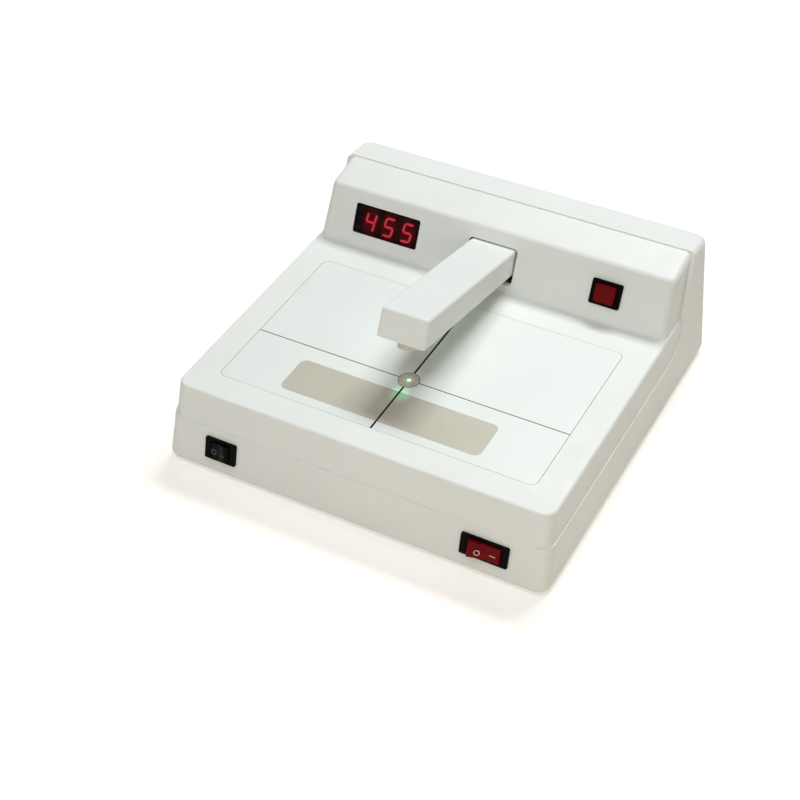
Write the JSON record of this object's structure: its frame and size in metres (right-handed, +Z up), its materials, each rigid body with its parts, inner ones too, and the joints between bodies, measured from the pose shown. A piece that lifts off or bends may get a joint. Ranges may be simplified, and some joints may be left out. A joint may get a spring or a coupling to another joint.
{
  "type": "photographic densitometer",
  "caption": "Desktop film densitometer: flat stage with a lit aperture, sprung sensor arm, rear console with red display and push button, front rocker switches.",
  "frame": {"origin": "centre of the whole part's footprint, on the plane that the rubber feet stand on", "axes": "+X to the operator's right, +Y towards the console and the mains inlet at the back, +Z up"},
  "size_m": [0.2434, 0.243, 0.1004],
  "materials": {
    "housing_plastic": "fine satin moulded, off-white",
    "stage_plastic": "smooth satin, off-white",
    "collar_plastic": "satin moulded, warm grey-white",
    "line_ink": "matt dark brown filling",
    "satin_metal": "satin, fine grain",
    "frosted_plastic": "frosted, slightly see-through",
    "window_red": "polished, very dark red",
    "black_plastic": "satin moulded, black",
    "red_plastic": "polished, dark red",
    "black_gloss": "polished, black",
    "circuit_board": "green solder mask",
    "nylon": "natural nylon",
    "zinc_steel": "zinc plated",
    "spring_steel": "drawn wire",
    "brass": "plain turned or stamped",
    "copper_wire": "lacquered copper winding",
    "core_steel": "laminated, varnished",
    "clear_glass": "clear, polished",
    "diode_can": "plain metal can",
    "foot_rubber": "matt black"
  },
  "bodies": {
    "base": {"lower_shell": "housing_plastic", "upper_cover": "housing_plastic", "stage_plate": "stage_plastic", "crosshair": "line_ink", "blank_panel": "satin_metal", "aperture_disc": "frosted_plastic", "display_filter": "window_red", "digit_modules": "black_plastic", "display_board": "circuit_board", "display_spacers": "nylon", "button_housing": "black_plastic", "button_spring": "spring_steel", "left_switch_housing": "black_plastic", "left_switch_terminals": "brass", "power_switch_housing": "black_plastic", "power_switch_terminals": "brass", "arm_bracket": "zinc_steel", "bracket_screws": "zinc_steel", "pivot_shaft": "zinc_steel", "shaft_clips": "spring_steel", "arm_spring": "spring_steel", "light_tube": "black_plastic", "condenser_lens": "clear_glass", "lamp": "clear_glass", "lamp_board": "circuit_board", "inlet_socket": "black_plastic", "inlet_blades": "brass", "main_board": "circuit_board", "board_screws": "zinc_steel", "board_chips": "black_plastic", "transformer_core": "core_steel", "transformer_coil": "copper_wire", "rubber_feet": "foot_rubber", "case_screws": "zinc_steel"},
    "arm": {"arm_housing": "housing_plastic", "arm_bottom_cover": "housing_plastic", "arm_screws": "zinc_steel", "arm_bushes": "brass", "sensor_collar": "collar_plastic", "detector_window": "clear_glass", "photodiode": "diode_can", "detector_board": "circuit_board"},
    "left_rocker": {"left_rocker": "black_gloss"},
    "power_rocker": {"power_rocker": "red_plastic"},
    "button": {"button_cap": "red_plastic"}
  },
  "joints": [
    {"name": "arm_pivot", "type": "hinge", "parent": "base", "child": "arm", "pos_m": [0, 0.07492, 0.0652], "axis": [1, 0, 0], "range_deg": [0, 12.3], "stiffness_Nm_per_rad": 0.08, "springref_deg": -25.78, "deforming": ["arm_spring"]},
    {"name": "left_rocker_pivot", "type": "hinge", "parent": "base", "child": "left_rocker", "pos_m": [-0.0843, -0.11402, 0.01841], "axis": [0, 0.2571, 0.9664], "range_deg": [0, 20]},
    {"name": "power_rocker_pivot", "type": "hinge", "parent": "base", "child": "power_rocker", "pos_m": [0.0839, -0.11402, 0.01841], "axis": [0, -0.2571, -0.9664], "range_deg": [0, 20]},
    {"name": "button_slide", "type": "slide", "parent": "base", "child": "button", "axis": [0, 0.9063, -0.4226], "range_m": [0, 0.002], "stiffness_N_per_m": 300, "springref_m": -0.002, "deforming": ["button_spring"]}
  ]
}
